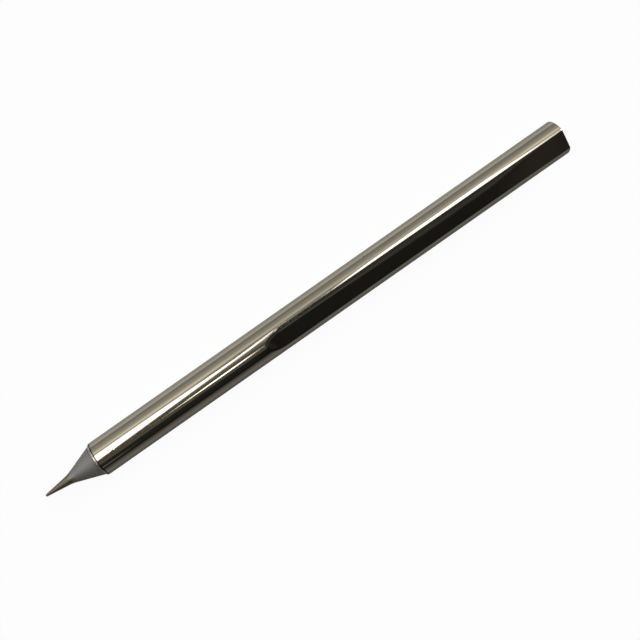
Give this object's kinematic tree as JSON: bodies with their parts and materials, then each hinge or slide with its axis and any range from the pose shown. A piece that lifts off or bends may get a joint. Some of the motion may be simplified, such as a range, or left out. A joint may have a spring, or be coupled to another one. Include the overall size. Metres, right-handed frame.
{
  "type": "soldering iron tip",
  "caption": "Round plated plug-in soldering tip: long polished shank with a set-screw flat, short matte cone and a tinned needle point.",
  "frame": {"origin": "centre of the rear end face, on the shank's axis", "axes": "+X along the rod from the rear end face to the working point; +Z the outward direction of the set-screw flat, which looks up, as in the picture"},
  "size_m": [0.08, 0.0048, 0.0048],
  "materials": {
    "plated_copper": "polished warm nickel plating on the shank, matt grey plating on the cone, tinned point"
  },
  "bodies": {
    "root": {"soldering_tip": "plated_copper"}
  },
  "joints": []
}
